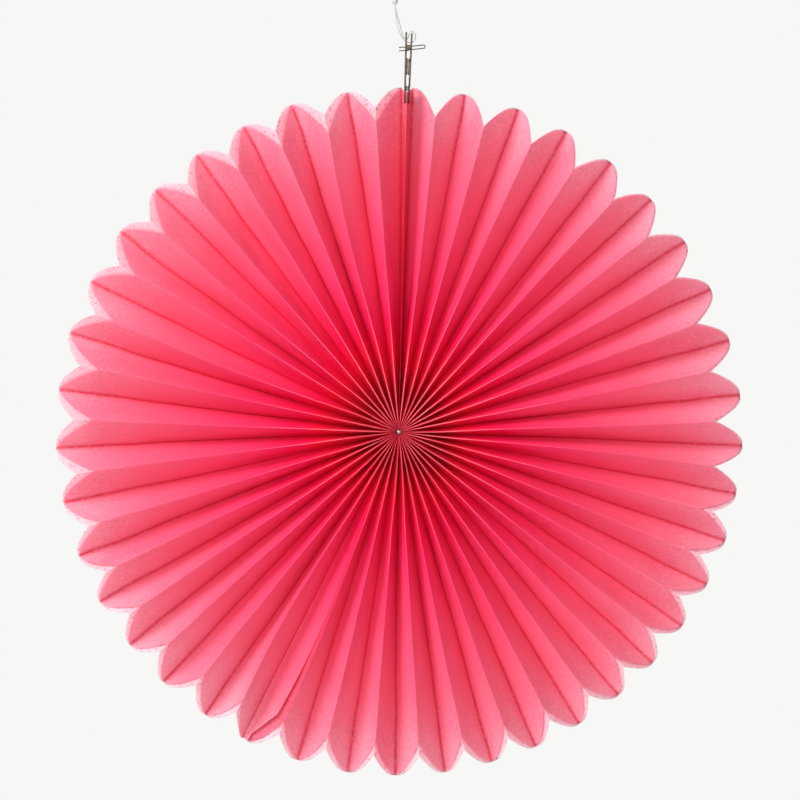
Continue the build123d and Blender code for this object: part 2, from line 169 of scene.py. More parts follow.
# Shader maths
class Value:
    """A number in a material's nodes that takes Python's arithmetic."""

    def __init__(self, board: "Board", output: bpy.types.NodeSocket) -> None:
        """Wrap an output socket of a board's node."""
        self.board = board
        self.output = output

    def _maths(self, operation: str, *numbers: "Value | float") -> "Value":
        """Add a Math node and return its result."""
        settings = {"operation": operation}
        return self.board.value("ShaderNodeMath", settings, dict(enumerate(numbers)))

    def __add__(self, other: "Value | float") -> "Value":
        """Sum."""
        return self._maths("ADD", self, other)

    __radd__ = __add__

    def __mul__(self, other: "Value | float") -> "Value":
        """Product."""
        return self._maths("MULTIPLY", self, other)

    __rmul__ = __mul__

    def __sub__(self, other: "Value | float") -> "Value":
        """Difference."""
        return self._maths("SUBTRACT", self, other)

    def __rsub__(self, other: float) -> "Value":
        """Difference from a number."""
        return self._maths("SUBTRACT", other, self)

    def __or__(self, other: "Value | float") -> "Value":
        """The larger of two."""
        return self._maths("MAXIMUM", self, other)

    def step(self, low: float, high: float) -> "Value":
        """Smooth step from 0 at low to 1 at high, or falling where high is lower."""
        settings = {"interpolation_type": "SMOOTHSTEP"}
        inputs = {"Value": self, "From Min": low, "From Max": high}
        return self.board.value("ShaderNodeMapRange", settings, inputs)


class Board:
    """The nodes of a material or of the world."""

    def __init__(self, owner: bpy.types.Material | bpy.types.World) -> None:
        """Empty the owner's nodes."""
        self.owner = owner
        owner.use_nodes = True
        self.tree = owner.node_tree
        self.tree.nodes.clear()

    def node(self, kind: str, settings: dict | None = None,
             inputs: dict | None = None) -> bpy.types.Node:
        """Add a node.

        Args:
            kind: the node's type.
            settings: its properties; "stops" holds a colour ramp's stops.
            inputs: values or links by socket name or number.

        Returns:
            The node.
        """
        made = self.tree.nodes.new(kind)
        for name, setting in (settings or {}).items():
            if name == "stops":
                self._stops(made.color_ramp, setting)
            else:
                setattr(made, name, setting)
        for name, wanted in (inputs or {}).items():
            socket = made.inputs[name]
            if isinstance(wanted, Value):
                self.tree.links.new(wanted.output, socket)
            elif isinstance(wanted, bpy.types.NodeSocket):
                self.tree.links.new(wanted, socket)
            else:
                socket.default_value = wanted
        return made

    def _stops(self, colour_ramp: bpy.types.ColorRamp, stops: Stops) -> None:
        """Set the stops of a colour ramp."""
        while len(colour_ramp.elements) < len(stops):
            colour_ramp.elements.new(1.0)
        for element, (place, colour) in zip(colour_ramp.elements, stops):
            element.position = place
            element.color = (*colour, 1.0)

    def value(self, kind: str, settings: dict | None = None, inputs: dict | None = None,
              output: str | int = 0) -> Value:
        """Add a node and wrap one of its outputs.

        Args:
            kind: the node's type.
            settings: its properties.
            inputs: values or links by socket name or number.
            output: name or number of the output.

        Returns:
            The wrapped output.
        """
        return Value(self, self.node(kind, settings, inputs).outputs[output])

    def attribute(self, name: str) -> Value:
        """A number that the mesh carries."""
        return self.value("ShaderNodeAttribute", {"attribute_name": name}, output="Fac")

    def noise(self, scale: float, detail: float = 2.0, stretch: Point = (1.0, 1.0, 1.0)) -> Value:
        """Noise from 0 to 1 over the object.

        Args:
            scale: how fine it is.
            detail: how many finer layers it has.
            stretch: how fine it is along each axis, as shares.

        Returns:
            The noise.
        """
        coordinates = self.node("ShaderNodeTexCoord").outputs["Object"]
        placed = self.node("ShaderNodeMapping", {}, {"Vector": coordinates, "Scale": stretch})
        inputs = {"Vector": placed.outputs["Vector"], "Scale": scale, "Detail": detail}
        return self.value("ShaderNodeTexNoise", {}, inputs, "Fac")

    def ramp(self, place: Value, stops: Stops) -> bpy.types.NodeSocket:
        """A colour that changes along its stops."""
        return self.node("ShaderNodeValToRGB", {"stops": stops}, {"Fac": place}).outputs["Color"]

    def mix(self, share: Value | float, first: Paint, second: Paint,
            blend: str = "MIX") -> bpy.types.NodeSocket:
        """Mix two colours.

        Args:
            share: share of the second.
            first: the first colour or link.
            second: the second colour or link.
            blend: the way of mixing.

        Returns:
            The mixed colour.
        """
        settings = {"data_type": "RGBA", "blend_type": blend}
        inputs = {0: share, 6: self._solid(first), 7: self._solid(second)}
        return self.node("ShaderNodeMix", settings, inputs).outputs[2]

    def _solid(self, colour: Paint) -> tuple[float, ...] | bpy.types.NodeSocket:
        """A colour with its alpha, or a link as it is."""
        return (*colour, 1.0) if isinstance(colour, tuple) else colour

    def bump(self, height: Value, distance: float, strength: float = 1.0) -> bpy.types.NodeSocket:
        """A normal bent by a height."""
        inputs = {"Height": height, "Distance": distance, "Strength": strength}
        return self.node("ShaderNodeBump", {}, inputs).outputs["Normal"]

    def finish(self, shader: bpy.types.Node, output: str = "ShaderNodeOutputMaterial") -> bpy.types.ID:
        """Send a shader to the surface and return the owner."""
        self.node(output, {}, {"Surface": shader.outputs[0]})
        return self.owner


# Finishes
@dataclass(frozen=True)
class TissueFinish:
    """Dyed tissue with painted light and shade: painted shade deepens its colour near the pin, where the
    folds are close, painted light through the thin paper makes it paler near the rim, its ridges carry a
    pale line that is partly wear and partly painted highlight, and its valleys carry painted shade.

    Places along a fold are shares of the disc's radius. A pair of limits says where a change starts
    and where it is whole.
    """

    name: str
    shaded_colours: Stops
    crest: Colour
    crest_strength: float
    speckle: float
    sheer: float
    rough: float = 0.8
    shine: float = 0.2
    cloud_scale: float = 38.0
    cloud_detail: float = 3.0
    cloud_shift: float = 0.08
    tone_shift: float = 0.05
    crest_fade: Limits = (0.58, 0.2)
    crease_shade: Colour = (0.93, 0.30, 0.42)
    crease_shade_strength: float = 0.85
    crease_shade_width: Limits = (0.955, 1.0)
    crease_shade_start: Limits = (0.2, 0.45)
    cut_edge: Colour = (0.80, 0.42, 0.48)
    cut_edge_strength: float = 0.3
    cut_edge_width: Limits = (0.45, 0.0)
    fibre_scale: float = 820.0
    fringe: Limits = (0.70, 0.95)
    fleck: Colour = (1.0, 0.66, 0.72)
    fleck_limits: Limits = (0.54, 0.70)
    pit: Colour = (0.78, 0.45, 0.52)
    pit_limits: Limits = (0.46, 0.30)
    cloud_relief: float = 1.5
    relief: float = 0.00022
    relief_strength: float = 0.8

    def make(self) -> bpy.types.Material:
        """The material, from what the mesh notes about its paper."""
        board = Board(bpy.data.materials.new(self.name))
        radius, crest, valley, edge, tone = (board.attribute(name) for name in PAPER_NOTES)
        cloud = board.noise(self.cloud_scale, self.cloud_detail)
        fibre = board.noise(self.fibre_scale)
        # The radial ramp paints shade towards the pin and light through the thin paper towards the rim
        where = radius + (cloud - 0.5) * self.cloud_shift + tone * self.tone_shift
        # Painted highlight along the ridges, partly worn fibres
        ridge_wear_and_highlight = crest * self.crest_strength * radius.step(*self.crest_fade)
        dye_and_shade = board.mix(ridge_wear_and_highlight, board.ramp(where, self.shaded_colours), self.crest)
        # Painted shade along each valley crease, and over panels given a shade
        line = valley.step(*self.crease_shade_width) * self.crease_shade_strength * radius.step(*self.crease_shade_start)
        dye_and_shade = board.mix(line, dye_and_shade, self.crease_shade, "MULTIPLY")
        dye_and_shade = board.mix(edge.step(*self.cut_edge_width) * self.cut_edge_strength, dye_and_shade, self.cut_edge)
        fringe = radius.step(*self.fringe) * self.speckle
        dye_and_shade = board.mix(fibre.step(*self.fleck_limits) * fringe, dye_and_shade, self.fleck)
        dye_and_shade = board.mix(fibre.step(*self.pit_limits) * fringe, dye_and_shade, self.pit, "MULTIPLY")
        normal = board.bump(fibre + cloud * self.cloud_relief, self.relief, self.relief_strength)
        paper = board.node("ShaderNodeBsdfPrincipled", {}, {
            "Base Color": dye_and_shade, "Roughness": self.rough, "Normal": normal, "Specular IOR Level": self.shine,
        })
        glow = board.node("ShaderNodeBsdfTranslucent", {}, {"Color": dye_and_shade, "Normal": normal})
        inputs = {0: self.sheer, 1: paper.outputs[0], 2: glow.outputs[0]}
        return board.finish(board.node("ShaderNodeMixShader", {}, inputs))


@dataclass(frozen=True)
class MetalFinish:
    """Metal with fine scratches and dull spots."""

    name: str
    colour: Colour
    dull: Colour
    rough: float
    scratch_scale: float = 2500.0
    scratch_stretch: Point = (1.0, 1.0, 0.08)
    scratch_depth: float = 0.00002
    scratch_strength: float = 0.4
    spot_scale: float = 750.0
    spot_detail: float = 3.0
    spot_limits: Limits = (0.45, 0.7)
    spot_rough: float = 0.2

    def make(self) -> bpy.types.Material:
        """The material, from noise over the object."""
        board = Board(bpy.data.materials.new(self.name))
        spots = board.noise(self.spot_scale, self.spot_detail)
        scratches = board.noise(self.scratch_scale, stretch=self.scratch_stretch)
        return board.finish(board.node("ShaderNodeBsdfPrincipled", {}, {
            "Base Color": board.mix(spots.step(*self.spot_limits), self.colour, self.dull),
            "Metallic": 1.0,
            "Roughness": spots * self.spot_rough + self.rough,
            "Normal": board.bump(scratches, self.scratch_depth, self.scratch_strength),
        }))


@dataclass(frozen=True)
class NylonFinish:
    """Clear nylon, which looks pale and cloudy at the thickness of a line."""

    name: str
    colour: Colour
    cloudy: Colour
    rough: float
    cloud_scale: float = 900.0
    cloud_limits: Limits = (0.35, 0.75)
    cloud_strength: float = 0.5
    refraction: float = 1.53
    skin: float = 0.1

    def make(self) -> bpy.types.Material:
        """The material, from noise over the object."""
        board = Board(bpy.data.materials.new(self.name))
        cloud = board.noise(self.cloud_scale).step(*self.cloud_limits) * self.cloud_strength
        return board.finish(board.node("ShaderNodeBsdfPrincipled", {}, {
            "Base Color": board.mix(cloud, self.colour, self.cloudy), "Roughness": self.rough,
            "IOR": self.refraction, "Coat Weight": self.skin,
        }))


# Colour stops run from the pin to the rim: the deep red near the pin is painted shade of the closed folds,
# and the pink towards the rim is painted light through the thin paper. crest is the ridges' pale line,
# partly wear and partly painted highlight.
FRONT_TISSUE = TissueFinish(
    "crimson_tissue",
    (
        (0.00, (0.93, 0.022, 0.080)),
        (0.10, (0.81, 0.008, 0.040)),
        (0.20, (0.99, 0.010, 0.075)),
        (0.29, (0.99, 0.013, 0.138)),
        (0.44, (0.99, 0.060, 0.205)),
        (0.58, (0.99, 0.105, 0.245)),
        (0.75, (0.99, 0.175, 0.305)),
        (0.87, (0.99, 0.265, 0.400)),
        (1.00, (0.99, 0.450, 0.570)),
    ),
    crest=(1.0, 0.35, 0.43),
    crest_strength=1.0,
    speckle=0.30,
    sheer=0.42,
)
# The same for the paler rear layer: painted shade near the pin, painted light through the thin paper at
# the rim.
REAR_TISSUE = TissueFinish(
    "pale_tissue",
    (
        (0.00, (0.99, 0.025, 0.070)),
        (0.12, (0.99, 0.012, 0.050)),
        (0.45, (0.99, 0.065, 0.170)),
        (0.75, (0.99, 0.220, 0.340)),
        (0.90, (0.99, 0.620, 0.700)),
        (1.00, (0.99, 0.760, 0.820)),
    ),
    crest=(1.0, 0.62, 0.68),
    crest_strength=0.5,
    speckle=0.75,
    sheer=0.45,
)
CLIP_STEEL = MetalFinish("brown_grey_steel", (0.108, 0.086, 0.068), (0.045, 0.033, 0.026), 0.36)
PIN_STEEL = MetalFinish("bright_pin", (0.30, 0.21, 0.20), (0.16, 0.09, 0.09), 0.12)
CLEAR_NYLON = NylonFinish("clear_nylon", (0.45, 0.46, 0.46), (0.60, 0.61, 0.61), 0.45)


# Tissue
class Fold(Enum):
    """What a line of a sheet is."""

    RIDGE = "ridge"
    VALLEY = "valley"
    BEND = "bend"
    FREE_EDGE = "free edge"


@dataclass(frozen=True)
class Crease:
    """A line of a sheet from the pin to the rim.

    turn is in degrees clockwise, depth_share is 0 in front and 1 behind, lift moves it forward in
    millimetres, sway is its sideways bow in degrees at mid radius, setback shortens its end in
    millimetres, and kink is the size of its small bends in degrees.
    """

    kind: Fold
    turn: float
    depth_share: float
    lift: float = 0.0
    sway: float = 0.0
    setback: float = 0.0
    kink: float = 0.0


@dataclass(frozen=True)
class Rim:
    """How a sheet ends up to a turn: its notches in millimetres and how round its scallops are."""

    last_turn: float
    notch: float
    roundness: float = 1.0


@dataclass(frozen=True)
class Ripple:
    """Soft waves of the paper.

    length is in millimetres along the fold, per_degree and per_panel say how fast the waves change
    from fold to fold and across a panel, and height is their size.
    """

    length: float
    per_degree: float
    per_panel: float
    height: float

    def at(self, radius: float, turn: float, along: float = 0.5) -> float:
        """Size of the waves at a radius, a turn and a share of the panel."""
        place = (radius / self.length, turn * self.per_degree, along * self.per_panel)
        return self.height * unevenness(*place)


@dataclass(frozen=True)
class Panel:
    """The paper between two creases, measured from near, the one that stands further forward.

    bulge is how far it stands out in millimetres, tone shifts its colour by -1 to 1, and shade is how
    much painted shade it has at least, where 1 is the painted shade of a valley's crease.
    """

    near: Crease
    far: Crease
    clockwise: bool
    first_turn: float
    bulge: float
    tone: float
    shade: float


@dataclass
class Sheet:
    """One layer of tissue of a pack; shades paints some panels, by their number, with shade as deep as a
    valley's.
    """

    name: str
    node: str
    creases: list[Crease]
    finish: TissueFinish
    slot: str
    first_radius: float
    tip_radius: float
    rims: tuple[Rim, ...]
    layer_gap: float = 0.0
    rear: bool = False
    shades: dict[int, float] = field(default_factory=dict)

    def rim(self, turn: float) -> Rim:
        """How the sheet ends at a turn."""
        return next((rim for rim in self.rims if turn <= rim.last_turn), self.rims[-1])

    def crease_reach(self, crease: Crease) -> float:
        """Radius of the paper's end at a crease, in millimetres."""
        if crease.kind is Fold.RIDGE:
            return self.tip_radius - self.rim(crease.turn).notch
        return self.tip_radius - crease.setback


@dataclass(frozen=True)
class Seam:
    """The clipped seam: where its panels turn, in degrees from its middle, and end, in millimetres."""

    edge: float = 0.01
    edge_setback: float = 2.6
    bend: float = 0.05
    bend_depth: float = 0.66
    bend_setback: float = 1.8
    flare: float = 0.88
    # right_shades and left_shades paint shade on the seam's panels, deep in its fold
    right_shades: tuple[float, float] = (0.97, 0.98)
    left_shades: tuple[float, float] = (0.99, 0.98)

    def creases(self, turn: float, side: int) -> list[Crease]:
        """One pack's seam, from its free edge to its first valley.

        Args:
            turn: turn of the seam's middle.
            side: 1 for the pack that starts clockwise of it, -1 for the pack that ends there.

        Returns:
            The creases, outwards from the seam.
        """
        return [
            Crease(Fold.FREE_EDGE, turn + side * self.edge, 0.0, setback=self.edge_setback),
            Crease(Fold.BEND, turn + side * self.bend, self.bend_depth, setback=self.bend_setback),
            Crease(Fold.VALLEY, turn + side * self.flare, 1.0),
        ]


@dataclass(frozen=True)
class Lap:
    """The glued joint, in degrees from the right pack's last ridge and in millimetres.

    The flap lies over the joint: it has a free edge, which sways, and a straight cut that meets the
    rim in a corner.
    """

    flap: float = 1.7
    flap_depth: float = 0.2
    flap_sway: float = -1.9
    flap_setback: float = 16.6
    flap_lift: float = 1.5
    corner: float = 4.4
    corner_setback: float = 3.6
    corner_step: float = 0.12
    valley: float = 4.6
    fold: float = 5.4
    # shade paints the flap's shadow on the right pack's last panel
    shade: float = 0.985

    def flap_creases(self, last_ridge: float) -> list[Crease]:
        """The flap's free edge and the corner where its straight cut meets the rim.

        Args:
            last_ridge: turn of the right pack's last ridge.

        Returns:
            The creases in order.
        """
        creases = [
            Crease(Fold.FREE_EDGE, last_ridge + self.flap, self.flap_depth, self.flap_lift,
                   self.flap_sway, self.flap_setback)
        ]
        cut_ends = ((self.corner, self.corner_setback), (self.corner + self.corner_step, 0.0))
        for turn, setback in cut_ends:
            left = (self.fold - turn) / (self.fold - self.flap)
            depth = 1.0 - (1.0 - self.flap_depth) * left
            creases.append(Crease(Fold.BEND, last_ridge + turn, depth, self.flap_lift * left,
                                  self.flap_sway * left, setback))
        return creases


@dataclass(frozen=True)
class Looseness:
    """How unevenly the paper lies, in degrees and millimetres.

    Pairs of limits are radii or turns between which a change starts and is whole. The paper is
    looser in a stretch of the left pack.
    """

    seed: int = 17
    seeds_per_degree: int = 100
    valley_shift: float = 0.22
    valley_sway: float = 0.3
    valley_setback: float = 0.7
    valley_kink: float = 0.264
    ridge_sway: float = 0.25
    ridge_kink: float = 0.132
    kinks: Ripple = Ripple(17.0, 1.7, 1.0, 1.0)
    bow_zone: Limits = (14.0, 134.0)
    bunching: float = 4.2
    bunching_rate: float = 0.93
    bunching_place: tuple[float, float] = (3.7, 0.2)
    bunching_zone: Limits = (42.0, 5.0)
    bulges: Limits = (-0.275, 0.495)
    ripples: tuple[Ripple, ...] = (Ripple(21.0, 0.31, 1.3, 0.55), Ripple(6.0, 0.57, 3.0, 0.16))
    ripple_zone: Limits = (12.0, 60.0)
    rim_calm: float = 0.6
    rim_zone: Limits = (110.0, 148.0)
    wide_panel: float = 4.0
    loose_turn: float = 285.0
    loose_creases: float = 1.6
    loose_ripple: float = 0.9
    loose_start: Limits = (270.0, 300.0)
    loose_end: Limits = (352.0, 340.0)

    def bend(self, crease: Crease, radius: float) -> float:
        """How far a crease strays from its turn at a radius, in degrees."""
        low, high = self.bow_zone
        share = min(1.0, max(0.0, (radius - low) / (high - low)))
        bow = crease.sway * math.sin(math.pi * share)
        bunched = self.bunching * unevenness(crease.turn * self.bunching_rate, *self.bunching_place)
        kink = crease.kink * self.kinks.at(radius, crease.turn) * share
        return bow + kink + bunched * ramp(radius, *self.bunching_zone)

    def swell(self, panel: Panel, along: float, radius: float, across: float) -> float:
        """How far the paper stands out of its flat panel.

        Args:
            panel: the panel.
            along: share of its width, from the near crease.
            radius: millimetres from the middle.
            across: the panel's width as seen from the front, in millimetres.

        Returns:
            Millimetres forward.
        """
        zone = ramp(radius, *self.ripple_zone) * (1.0 - self.rim_calm * ramp(radius, *self.rim_zone))
        turn = panel.first_turn
        loose = 1.0 + self.loose_ripple * ramp(turn, *self.loose_start) * ramp(turn, *self.loose_end)
        ripple = sum(ripple.at(radius, turn, along) for ripple in self.ripples)
        wide = min(1.0, across / self.wide_panel)
        return math.sin(math.pi * along) * zone * (panel.bulge + ripple * loose) * wide


@dataclass
class Tissue:
    """The pleated tissue: two packs, each with two front layers and a paler rear layer.

    Sizes are in millimetres. half_depths, front_plies and air are given at the radii: half the depth
    of the pleats, the room that the front plies take and the air behind them. zone_counts and
    zone_pitches give the ridges clockwise from the seam, as so many of each pitch in degrees.
    crest_turns and crest_glows say how bright the pale line of a ridge is round the disc; the line is
    partly worn fibres and partly painted highlight, and its change round the disc is painted light.
    tip_angle is the stretch of arc, in radians, that a scallop has from its tip to a valley, and edge_note
    is the furthest from the cut edge that the mesh notes.
    """

    radii: tuple[float, ...] = (0.65, 4.0, 14.0, 50.0, 134.7, 150.0)
    half_depths: tuple[float, ...] = (4.5, 7.0, 8.4, 8.1, 6.6, 6.2)
    front_plies: tuple[float, ...] = (8.0, 11.2, 10.4, 5.6, 0.8, 0.3)
    air: tuple[float, ...] = (0.1, 0.1, 0.15, 0.3, 0.6, 0.8)
    first_ridge_turn: float = 6.5
    zone_counts: tuple[int, ...] = (9, 12, 8, 6, 5)
    zone_pitches: tuple[float, ...] = (9.07, 8.03, 8.59, 9.52, 9.08)
    right_ridges: int = 24
    seam: Seam = Seam()
    lap: Lap = Lap()
    looseness: Looseness = Looseness()
    lift_zone: Limits = (10.0, 40.0)
    paper: float = 0.06
    front_tip: float = 150.2
    inner_tip: float = 149.7
    rear_tip: float = 150.8
    inner_start: float = 13.0
    inner_gap: float = 0.2
    tip_angle: float = 1.44
    crest_radius: float = 0.25
    crest_width_share: float = 0.4
    layer_room_share: float = 0.4
    valley_room_share: float = 0.5
    least_depth: float = 0.1
    least_crest: float = 0.02
    least_width: float = 0.001
    # The ridges' pale line is brighter or dimmer round the disc as painted light
    crest_turns: tuple[float, ...] = (0.0, 70.0, 130.0, 170.0, 205.0, 260.0, 300.0, 345.0, 360.0)
    crest_glows: tuple[float, ...] = (1.0, 1.0, 0.75, 0.45, 0.5, 0.8, 0.75, 0.9, 1.0)
    glow_level: float = 0.8
    glow_ripple: Ripple = Ripple(26.0, 0.37, 3.0, 0.5)
    hub_glow: float = 0.45
    hub_glow_zone: Limits = (2.0, 12.0)
    edge_note: float = 2.0
    crest_steps: int = 3
    crest_step_share: float = 0.02
    flat_steps: int = 6
    inner_rows: int = 34
    inner_crowding: float = 1.7
    rim_rows: int = 12
    rim_crowding: float = 1.5
    rim_start: float = 116.0
    front_rims: tuple[Rim, ...] = (
        Rim(33.0, 13.2), Rim(102.0, 15.0, 0.95), Rim(262.0, 16.0, 0.7), Rim(350.0, 17.8, 0.35),
        Rim(362.0, 15.8, 0.1),
    )
    rear_rims: tuple[Rim, ...] = (
        Rim(33.0, 13.8), Rim(102.0, 13.4), Rim(206.5, 10.5), Rim(209.5, 10.5, 0.0), Rim(262.0, 10.5),
        Rim(362.0, 9.9),
    )
    swayed_ridges: dict[int, float] = field(default_factory=lambda: {
        0: 0.5, 10: -0.8, 23: -0.9, 24: 1.6, 33: -0.9, 34: 0.8, 35: -0.7, 38: 0.6, 39: -1.2,
    })

    @property
    def panel_steps(self) -> int:
        """Columns of the grid in a panel."""
        return self.crest_steps + self.flat_steps

    def ridge_turns(self) -> list[float]:
        """Turns of all the ridges, clockwise."""
        turns = [self.first_ridge_turn]
        for count, pitch in zip(self.zone_counts, self.zone_pitches):
            turns += [turns[-1] + pitch * (step + 1) for step in range(count)]
        return turns

    def pleats(self, first: int, last: int) -> list[Crease]:
        """Ridges from one index to another, with the valleys between them.

        Args:
            first: index of the first ridge.
            last: index after the last ridge.

        Returns:
            The creases in order.
        """
        turns = self.ridge_turns()
        slack = self.looseness
        draw = random.Random(slack.seed + first)
        creases: list[Crease] = []
        for index in range(first, last):
            loose = slack.loose_creases if turns[index] > slack.loose_turn else 1.0
            if creases:
                shift = draw.uniform(-slack.valley_shift, slack.valley_shift)
                sway = draw.uniform(-slack.valley_sway, slack.valley_sway) * loose
                setback = draw.uniform(0.0, slack.valley_setback)
                creases.append(Crease(Fold.VALLEY, (turns[index - 1] + turns[index]) / 2 + shift, 1.0,
                                      sway=sway, setback=setback, kink=slack.valley_kink * loose))
            drawn = draw.uniform(-slack.ridge_sway, slack.ridge_sway) * loose
            creases.append(Crease(Fold.RIDGE, turns[index], 0.0, sway=self.swayed_ridges.get(index, drawn),
                                  kink=slack.ridge_kink * loose))
        return creases

    def right_pack(self) -> list[Crease]:
        """Creases of the right pack, from the seam to the valley under the lap."""
        last_ridge = self.ridge_turns()[self.right_ridges - 1]
        start = self.seam.creases(SEAM_TURN, 1)
        end = [Crease(Fold.FREE_EDGE, last_ridge + self.lap.valley, 1.0)]
        return start + self.pleats(0, self.right_ridges) + end

    def left_pack(self, flap: bool) -> list[Crease]:
        """Creases of the left pack, from its flap or first valley to the seam.

        Args:
            flap: whether the sheet has the flap that lies over the lap.

        Returns:
            The creases in order.
        """
        turns = self.ridge_turns()
        last_ridge = turns[self.right_ridges - 1]
        start = self.lap.flap_creases(last_ridge) if flap else []
        start.append(Crease(Fold.VALLEY, last_ridge + self.lap.fold, 1.0))
        end = self.seam.creases(FULL_TURN + SEAM_TURN, -1)[::-1]
        return start + self.pleats(self.right_ridges, len(turns)) + end

    def size_at(self, radius: float, sizes: tuple[float, ...]) -> float:
        """A size of the pleats at a radius, in millimetres."""
        return between(radius, self.radii, sizes)

    def turn_at(self, crease: Crease, radius: float) -> float:
        """Turn of a crease at a radius, in degrees clockwise."""
        return crease.turn + self.looseness.bend(crease, radius)

    def depth_at(self, sheet: Sheet, crease: Crease, radius: float) -> float:
        """How far a crease of a sheet stands behind the middle plane, in millimetres."""
        half = self.size_at(radius, self.half_depths)
        plies = self.size_at(radius, self.front_plies)
        behind = plies + self.size_at(radius, self.air) if sheet.rear else 0.0
        lift = crease.lift * ramp(radius, *self.lift_zone)
        return crease.depth_share * (2 * half - plies) - half + behind - lift

    def reach(self, sheet: Sheet, panel: Panel, share: float) -> float:
        """Radius of the paper's end on a panel.

        Args:
            sheet: the sheet.
            panel: the panel.
            share: share of its width, from the near crease.

        Returns:
            The radius in millimetres.
        """
        near_end, far_end = sheet.crease_reach(panel.near), sheet.crease_reach(panel.far)
        if panel.near.kind is Fold.RIDGE:
            roundness = sheet.rim((panel.near.turn + panel.far.turn) / 2).roundness
            arch = math.sin(self.tip_angle * share) / math.sin(self.tip_angle)
            share = roundness * arch + (1 - roundness) * share
        return near_end + (far_end - near_end) * share

    def make_panel(self, sheet: Sheet, index: int) -> Panel:
        """The panel between a crease of a sheet and the next one."""
        first, last = sheet.creases[index], sheet.creases[index + 1]
        draw = random.Random(round(first.turn * self.looseness.seeds_per_degree))
        bulge, tone = draw.uniform(*self.looseness.bulges), draw.uniform(-1.0, 1.0)
        clockwise = first.kind is Fold.RIDGE or first.depth_share < last.depth_share
        near, far = (first, last) if clockwise else (last, first)
        return Panel(near, far, clockwise, first.turn, bulge, tone, sheet.shades.get(index, 0.0))

    def make_sheet(self, sheet: Sheet) -> bpy.types.Object:
        """Build a sheet from a flat grid that is pleated and bent round the pin.

        Args:
            sheet: the sheet.

        Returns:
            The piece.
        """
        panels = [self.make_panel(sheet, index) for index in range(len(sheet.creases) - 1)]
        columns, rows = len(panels) * self.panel_steps, self.inner_rows + self.rim_rows
        shape = bmesh.new()
        bmesh.ops.create_grid(shape, x_segments=columns, y_segments=rows, size=1.0)
        layers = {name: shape.verts.layers.float.new(name) for name in PAPER_NOTES}
        sharp = set()
        for vertex in shape.verts:
            column = round((vertex.co.x + 1) / 2 * columns)
            row = round((vertex.co.y + 1) / 2 * rows)
            index = min(column // self.panel_steps, len(panels) - 1)
            step = column - index * self.panel_steps
            on_crease = column % self.panel_steps == 0
            if on_crease and sheet.creases[column // self.panel_steps].kind is not Fold.RIDGE:
                sharp.add(vertex)
            count = step if panels[index].clockwise else self.panel_steps - step
            self.set_vertex(sheet, panels[index], count, row, vertex, layers)
        for edge in shape.edges:
            edge.smooth = not sharp.issuperset(edge.verts)
        mesh = new_mesh(sheet.name, shape)
        mesh.shade_smooth()
        return self.dress(sheet, mesh)

    def flat_share(self, count: int) -> float:
        """Share of a panel's flat stretch before a column, past the rounded crest of its ridge."""
        return max(0.0, (count - self.crest_steps) / self.flat_steps)

    def panel_share(self, panel: Panel, count: int) -> float:
        """Share of a panel's width before a column, counted from the near crease."""
        if panel.near.kind is not Fold.RIDGE:
            return count / self.panel_steps
        crest_share = self.crest_step_share * self.crest_steps
        return min(1.0, self.crest_step_share * count + (1 - crest_share) * self.flat_share(count))

    def set_vertex(self, sheet: Sheet, panel: Panel, count: int, row: int,
                   vertex: bmesh.types.BMVert, layers: dict) -> None:
        """Move a vertex of the flat grid to its place on the pleats and note where it is.

        Args:
            sheet: the sheet.
            panel: its panel.
            count: its column, counted from the panel's near crease.
            row: its row from the pin to the rim.
            vertex: the vertex.
            layers: the vertex layers to fill, by name.
        """
        share = self.panel_share(panel, count)
        end = self.reach(sheet, panel, share)
        radius = self.row_radius(sheet, row, end)
        near_turn, far_turn = self.turn_at(panel.near, radius), self.turn_at(panel.far, radius)
        near_depth = self.depth_at(sheet, panel.near, radius)
        deep = self.depth_at(sheet, panel.far, radius) - near_depth
        across = abs(math.radians(far_turn - near_turn)) * radius
        beside, behind = self.cross_section(sheet, panel, count, radius, across, deep)
        side = 1.0 if panel.clockwise else -1.0
        turn = near_turn + side * math.degrees(beside / radius)
        vertex.co = on_disc(turn, radius, near_depth + behind)
        vertex[layers["radius"]] = radius / self.radii[-1]
        # Painted highlight, partly wear, on the ridge's rounded crest
        vertex[layers["crest"]] = self.crest_glow(panel.near, radius) * ramp(count, self.crest_steps, 0.0)
        # The valley note carries the painted shade of the crease; a panel's shade raises it over the whole
        # panel
        vertex[layers["valley"]] = max(share, panel.shade)
        vertex[layers["edge"]] = min(self.edge_note, end - radius)
        vertex[layers["tone"]] = panel.tone * math.sin(math.pi * share)

